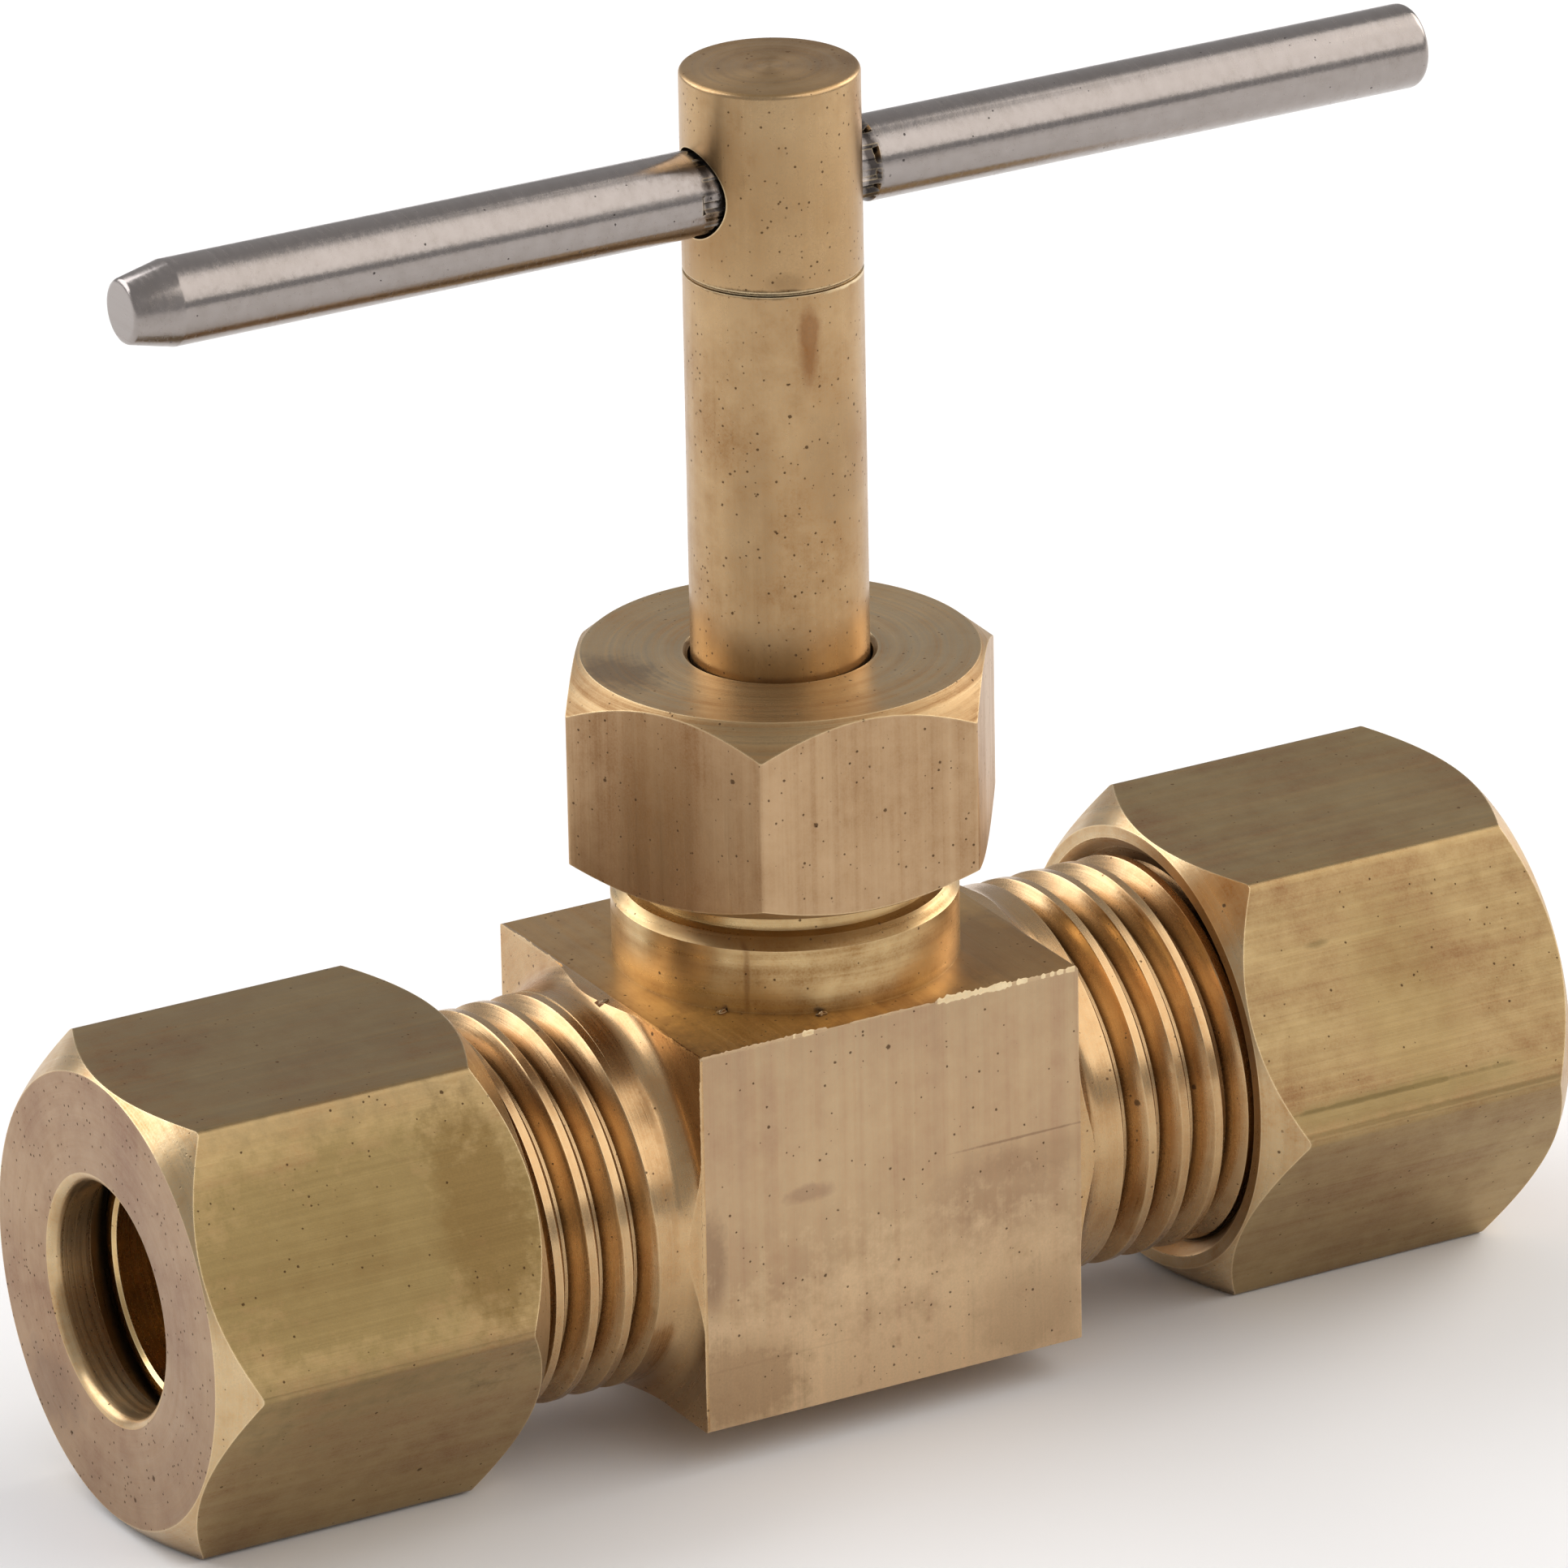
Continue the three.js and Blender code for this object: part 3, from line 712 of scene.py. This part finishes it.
# --------------------------------------------------------------------------------------------------
# Packing nut: 7/16 in drawn hexagon brass with turned chamfers, threaded 3/8-24 inside and bored for
# the stem. The flats keep the brown skin of the drawn bar, and the chamfers are bright from the tool.
# --------------------------------------------------------------------------------------------------
# Drawn hexagon bar: satin brown skin with soft upright die lines and many specks.
drawn_hex_upright = metal(
    "drawn_hex_upright", clean="c5a682", stained="9e7e58", browned="876039",
    roughness=0.35, marks="drawn", axis="Z", depth=6.0,
    patch=0.4, clouds=0.3, streaks=0.26, specks=0.9, rubbed=0.7,
    stains=[
        ((-5.1, -2.2, 11.5), (1.3, 1.5, 4.0), "7a5528", 0.3),
    ],
)
# Turned end faces of the nut: brighter, with fan-shaped light from the turning rings.
turned_cap_brass = metal(
    "turned_cap_brass", clean="c2aa84", stained="aa8a5c", browned="9d7648",
    roughness=0.36, marks="turned", axis="Z", depth=10.0,
    patch=0.35, clouds=0.35, streaks=0.5, specks=0.6, rubbed=0.6, grime_and_shade=0.4, sheen=0.5,
    stains=[
        ((-4.6, 0.6, 14.3), (1.0, 1.6, 1.0), "5f4530", 0.5),
    ],
)
# Chamfers cut at a coarse feed: open rings that scatter the light more than the end faces do.
chamfered_cap_brass = metal(
    "chamfered_cap_brass", clean="b2966e", stained="9c7c54", browned="8c6a44",
    roughness=0.46, marks="turned", axis="Z", depth=16.0,
    patch=0.4, clouds=0.35, streaks=0.9, specks=0.5, rubbed=0.7, sheen=0.35,
)


def hex_bar(flats, corner_angle, low, high, broken_edge):
    """Hexagon bar about Z with its edges rubbed round, and one corner at the given angle in degrees.
    It is cut a little long, for the lathe to face it to length."""
    spare = 0.5
    low, high = low - spare, high + spare
    bm = bmesh.new()
    bmesh.ops.create_circle(bm, cap_ends=True, segments=6, radius=flats / math.sqrt(3))
    first = bm.verts[:][0].co
    turn = math.radians(corner_angle) - math.atan2(first.y, first.x)
    bmesh.ops.rotate(bm, verts=bm.verts, cent=(0, 0, 0), matrix=Matrix.Rotation(turn, 3, "Z"))
    raised = bmesh.ops.extrude_face_region(bm, geom=bm.faces[:])["geom"]
    top = [v for v in raised if isinstance(v, bmesh.types.BMVert)]
    bmesh.ops.translate(bm, vec=(0, 0, high - low), verts=top)
    bmesh.ops.translate(bm, vec=(0, 0, low), verts=bm.verts)
    upright = [e for e in bm.edges if abs((e.verts[0].co - e.verts[1].co).z) > 1]
    bmesh.ops.bevel(
        bm, geom=upright, offset=broken_edge, offset_type="OFFSET", affect="EDGES", segments=3,
        profile=0.5, material=-1,
    )
    bmesh.ops.recalc_face_normals(bm, faces=bm.faces)
    return bm


cap_low, cap_high = box_mm("packing_nut")
cap_flats, cap_corner, cap_face = 11.09, -124.48, 5.42
cap_radius = cap_flats / math.sqrt(3) + 0.01
cap_root, cap_crest, stem_hole, stem_hole_mouth = 4.8, 4.35, 2.52, 2.94
cap_bore = [(0, cap_low.z - 0.6), (5.65, cap_low.z - 0.6), (cap_root, cap_low.z + 0.25)]
for i in range(4):
    cap_bore += [(cap_root, cap_low.z + 0.3 + i)]
    cap_bore += [(cap_crest, cap_low.z + 0.6 + i), (cap_crest, cap_low.z + 0.8 + i)]
cap_bore += [(cap_root, 13.0), (stem_hole, 13.0), (stem_hole, cap_high.z - 0.12)]
cap_bore += [(stem_hole_mouth, cap_high.z + 0.3), (stem_hole_mouth, 16), (0, 16)]
cap_outline = [(0, cap_low.z), (cap_face, cap_low.z), (cap_radius, 9.226), (cap_radius, 13.46)]
cap_outline += [(cap_face, cap_high.z), (0, cap_high.z)]
cap_mesh = machined(
    hex_bar(cap_flats, cap_corner, cap_low.z, cap_high.z, 0.07),
    ("INTERSECT", spun(cap_outline, 160)),
    ("DIFFERENCE", spun(cap_bore, 96)),
)


def cap_finish(normal, centre):
    """Drawn flats, turned ends and bore, and coarser chamfers."""
    if math.hypot(centre.x, centre.y) < 5.2 or abs(normal.z) > 0.95:
        return 1
    return 0 if abs(normal.z) < 0.1 else 2


cap_finishes = [drawn_hex_upright, turned_cap_brass, chamfered_cap_brass]
finished(
    "packing_nut_brass", cap_mesh, cap_finishes, cap_finish, "packing_nut", ["packing_nut"]
)

# --------------------------------------------------------------------------------------------------
# Gland stack: a turned brass washer, three PTFE packing rings and the brass follower above them. They
# are inside the neck, and show only when the valve is taken apart.
# --------------------------------------------------------------------------------------------------
# Turned brass of the washer and follower: clean, because it is shut inside the neck.
turned_ring_brass = metal(
    "turned_ring_brass", clean="e0c294", stained="c39a66", browned="b08552",
    roughness=0.25, marks="turned", axis="Z",
    patch=0.3, specks=0.2,
)


def waxy_plastic(name, clean, shade):
    """A soft white plastic, faintly cloudy, with a broad dull highlight."""
    material = bpy.data.materials.new(name)
    material.use_nodes = True
    tree = material.node_tree
    tree.nodes.clear()
    place = add_node(tree, "TexCoord").outputs["Object"]
    cloud = add_node(tree, "TexNoise", {"Vector": place, "Scale": 900.0, "Detail": 4.0}).outputs[0]
    colour = mixed(tree, cloud, linear(clean), linear(shade))
    relief = add_node(tree, "Bump", {"Height": cloud, "Distance": 4e-6}).outputs[0]
    shader = add_node(tree, "BsdfPrincipled", {"Base Color": colour, "Roughness": 0.5, "Normal": relief})
    add_node(tree, "OutputMaterial", {"Surface": shader.outputs[0]})
    return material


# PTFE rings cut from skived sheet: waxy white, with soft clouds about a millimetre across.
skived_ptfe = waxy_plastic("skived_ptfe", "f2efe8", "dcd8ce")


def gland_ring(node, body, finish, edge):
    """A flat ring with its four edges broken, as big as its CAD node."""
    low, high = box_mm(node)
    outer, inner = high.x, 2.48
    profile = [(inner + edge, low.z), (outer - edge, low.z), (outer, low.z + edge)]
    profile += [(outer, high.z - edge), (outer - edge, high.z), (inner + edge, high.z)]
    profile += [(inner, high.z - edge), (inner, low.z + edge), (inner + edge, low.z)]
    finished(node + "_piece", spun(profile, 72), [finish], one_finish, body, [node])


gland_ring("packing_washer", "washer", turned_ring_brass, 0.05)
for place in ("lower", "middle", "upper"):
    gland_ring("packing_ring_" + place, "body", skived_ptfe, 0.12)
gland_ring("gland_follower", "follower", turned_ring_brass, 0.1)

# --------------------------------------------------------------------------------------------------
# Compression nuts and ferrules: 1/2 in drawn hexagon brass, chamfered at both ends, bored for 1/4 in
# tube and threaded 7/16-24. Each holds a turned brass ferrule that grips the tube as it is tightened.
# --------------------------------------------------------------------------------------------------
# Drawn hexagon bar lying along the run: olive gold skin, cloudy, with faint lengthwise die lines.
drawn_hex_brass = metal(
    "drawn_hex_brass", clean="b49b70", stained="8f774d", browned="8a6846",
    roughness=0.34, marks="drawn", axis="X", depth=5.0,
    patch=0.45, clouds=0.45, streaks=0.22, specks=0.35,
    stains=[
        ((-16.3, -5.9, 2.9), (7.0, 2.2, 5.0), "7c6a42", 0.75),
        ((-12.6, -5.9, 2.6), (1.5, 2.0, 4.0), "6f5631", 0.6),
        ((-16.0, 0.0, 6.3), (7.0, 6.0, 1.0), "86745a", 0.3),
        ((14.8, -6.9, 0.15), (5.4, 1.2, 0.4), "6e5f38", 0.4),
        ((14.6, -6.9, 0.3), (4.0, 1.2, 0.07), "4f4426", 0.45),
        ((15.6, -7.1, -0.3), (6.0, 1.2, 0.09), "5c4c2c", 0.4),
        ((16.3, -5.9, 3.0), (1.8, 2.0, 3.5), "8a7347", 0.3),
        ((13.9, -5.4, 4.3), (0.4, 1.0, 0.12), "4a3c20", 0.4),
    ],
)
# Turned chamfers and bore of the nut: brighter gold, with rings of light.
turned_nut_brass = metal(
    "turned_nut_brass", clean="d0b78f", stained="b79262", browned="a67c4c",
    roughness=0.29, marks="turned", axis="X", depth=8.0,
    patch=0.35, specks=0.3, rubbed=0.8, grime_and_shade=0.6, sheen=0.7,
)
# Faced end of the nut: matt, pinkish brown, mottled by handling.
faced_nut_brass = metal(
    "faced_nut_brass", clean="b89d81", stained="a38668", browned="967660",
    roughness=0.42, marks="turned", axis="X", depth=6.0,
    patch=0.5, clouds=0.5, streaks=0.06, specks=0.8,
    stains=[
        ((-21.0, 3.4, -3.8), (1.0, 1.6, 1.2), "6d5246", 0.4),
    ],
)
# Turned and tumbled ferrule: clean and bright, with a thin line of light on its edge.
ferrule_brass = metal(
    "ferrule_brass", clean="e0c28a", stained="c49a60", browned="b08552",
    roughness=0.22, marks="turned", axis="X", depth=4.0,
    patch=0.3, specks=0.15,
)
nut_flats, face_radius = 12.7, 6.3
nut_radius = nut_flats / math.sqrt(3) + 0.01
nut_root, nut_crest, ferrule_room, hole_round = 5.6, 5.05, 4.95, 0.32
ferrule_bore, ferrule_radius = 3.2, 4.0


def compression_end(label, side, corner):
    """One nut and its ferrule. Heights run outward from the nut's inner face."""
    low, high = box_mm(label + "_compression_nut")
    face = high.x if side < 0 else low.x
    length = high.x - low.x
    inner = abs(face)
    angle = 90 + side * corner
    bore = [(0, -0.6), (6.55, -0.6), (nut_root, 0.35)]
    for i in range(6):
        rise = i * thread_pitch * 0.95
        bore += [(nut_root, 0.4 + rise), (nut_crest, 0.75 + rise)]
    bore += [(nut_root, 6.4), (ferrule_room, 6.4), (ferrule_room, 7.2)]
    bore += [(tube_bore, 8.85), (tube_bore, length - 0.35)]
    bore += arc((tube_bore + hole_round, length - hole_round), hole_round, 180, 90, 5)[1:-1]
    bore += [(3.63, length + 0.04), (3.63, length + 1), (0, length + 1)]
    outline = [(0, 0), (face_radius, 0), (nut_radius, 1.05), (nut_radius, 9.09)]
    outline += [(face_radius, length), (0, length)]
    nut = machined(
        hex_bar(nut_flats, angle, 0, length, 0.13),
        ("INTERSECT", spun(outline, 180)),
        ("DIFFERENCE", spun(bore, 120)),
    )
    sleeve = [(ferrule_bore, 3.75), (3.3, 3.65), (3.45, 3.65)]
    sleeve += [(ferrule_radius, 5.25), (ferrule_radius, 7.7)]
    sleeve += arc((3.55, 7.75), 0.45, 0, 90, 5)
    sleeve += [(3.3, 8.2), (ferrule_bore, 8.1), (ferrule_bore, 3.75)]
    ferrule = spun(sleeve, 120)
    for bm in (nut, ferrule):
        bmesh.ops.translate(bm, vec=(0, 0, inner), verts=bm.verts)
        laid_along_x(bm, side)

    def nut_finish(normal, centre):
        """Drawn flats, the faced outer end, and the rest turned."""
        outward = normal.x * side
        if math.hypot(centre.y, centre.z) > 6.1 and abs(outward) < 0.1:
            return 0
        return 2 if outward > 0.95 and abs(centre.x) > inner + length - 0.1 else 1

    nut_finishes = [drawn_hex_brass, turned_nut_brass, faced_nut_brass]
    finished(
        label + "_nut_brass", nut, nut_finishes, nut_finish,
        label + "_nut", [label + "_compression_nut"],
    )
    finished(
        label + "_ferrule_piece", ferrule, [ferrule_brass], one_finish,
        label + "_ferrule", [label + "_ferrule"],
    )


left_corner, right_corner = 62.86, 64.07
compression_end("left", -1, left_corner)
compression_end("right", 1, right_corner)

# --------------------------------------------------------------------------------------------------
# Studio: a white floor under a pale dim room, a broad softbox above and in front, a small one at the
# right and one behind. The camera stands 0.37 m off, to the front left and above, with a long lens.
# --------------------------------------------------------------------------------------------------
floor_mesh = bmesh.new()
bmesh.ops.create_grid(floor_mesh, x_segments=1, y_segments=1, size=1.5)
floor = bpy.data.objects.new("floor", mesh_from(floor_mesh, "floor"))
bpy.context.scene.collection.objects.link(floor)
# Matt white paper: it gives a soft shadow, and no highlight of its own.
paper = bpy.data.materials.new("white_paper")
paper.use_nodes = True
paper_shader = paper.node_tree.nodes["Principled BSDF"]
paper_shader.inputs["Base Color"].default_value = linear("f4f4f4")
paper_shader.inputs["Roughness"].default_value = 0.9
floor.data.materials.append(paper)

world = bpy.data.worlds.new("room")
bpy.context.scene.world = world
world.use_nodes = True
room = world.node_tree.nodes["Background"]
room.inputs["Color"].default_value = linear("b2b1b2")
room.inputs["Strength"].default_value = 0.95


def softbox(name, towards, distance, size, radiance, tint):
    """A square light of a given brightness, facing the middle of the valve."""
    data = bpy.data.lights.new(name, "AREA")
    data.shape = "RECTANGLE"
    data.size, data.size_y = size
    data.energy = radiance * math.pi * size[0] * size[1]
    data.color = linear(tint)[:3]
    light = bpy.data.objects.new(name, data)
    direction = Vector(towards).normalized()
    light.location = run_centre + direction * distance
    light.rotation_euler = direction.to_track_quat("Z", "Y").to_euler()
    bpy.context.scene.collection.objects.link(light)


warm_white, cool_white = "fffaf4", "fbfcff"
softbox("front_softbox", (0.60, -0.42, 0.68), 0.55, (0.84, 0.54), 1.35, warm_white)
softbox("side_softbox", (0.88, 0.16, 0.45), 0.55, (0.30, 0.34), 3.0, warm_white)
softbox("back_softbox", (-0.48, 0.62, 0.62), 0.60, (0.64, 0.48), 2.9, cool_white)

AZIMUTH, ELEVATION, ROLL = math.radians(-29.3588), math.radians(22.1166), math.radians(-1.0864)
DISTANCE, SIDE_SHIFT, UP_SHIFT = 369.68, 0.15, -9.57
out_along_x = math.sin(AZIMUTH) * math.cos(ELEVATION)
out_along_y = -math.cos(AZIMUTH) * math.cos(ELEVATION)
to_camera = Vector((out_along_x, out_along_y, math.sin(ELEVATION)))
level = (-to_camera).cross(Z_AXIS).normalized()
upright = level.cross(-to_camera)
view_right = math.cos(ROLL) * level + math.sin(ROLL) * upright
view_up = math.cos(ROLL) * upright - math.sin(ROLL) * level
lens = bpy.data.cameras.new("camera")
lens.sensor_width, lens.lens = 36.0, 310.03
lens.clip_start, lens.clip_end = 0.01, 5.0
camera = bpy.data.objects.new("camera", lens)
bpy.context.scene.collection.objects.link(camera)
offset = to_camera * DISTANCE - view_right * SIDE_SHIFT - view_up * UP_SHIFT
camera.location = run_centre + offset * MM
camera.rotation_euler = Matrix((view_right, view_up, to_camera)).transposed().to_euler()
bpy.context.scene.camera = camera
bpy.context.scene.view_settings.view_transform = "Standard"
